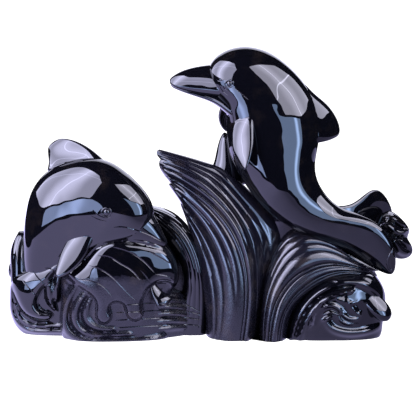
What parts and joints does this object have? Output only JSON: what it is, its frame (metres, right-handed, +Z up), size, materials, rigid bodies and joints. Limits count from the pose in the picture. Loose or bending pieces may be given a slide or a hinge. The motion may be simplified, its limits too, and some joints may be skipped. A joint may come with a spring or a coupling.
{
  "type": "carved obsidian dolphins ornament",
  "caption": "Polished black obsidian carving of dolphins leaping and diving over breaking waves, flat underside.",
  "frame": {"origin": "on the flat underside, below the middle of the bounding box", "axes": "+X along the carving from the diving dolphin to the leaping dolphin's tail, +Y from the pictured front to the back, +Z up"},
  "size_m": [0.1996, 0.0616, 0.142],
  "materials": {
    "black_obsidian": "mirror polished on the dolphins, satin ground in the waves"
  },
  "bodies": {
    "root": {"dolphin_carving": "black_obsidian"}
  },
  "joints": []
}
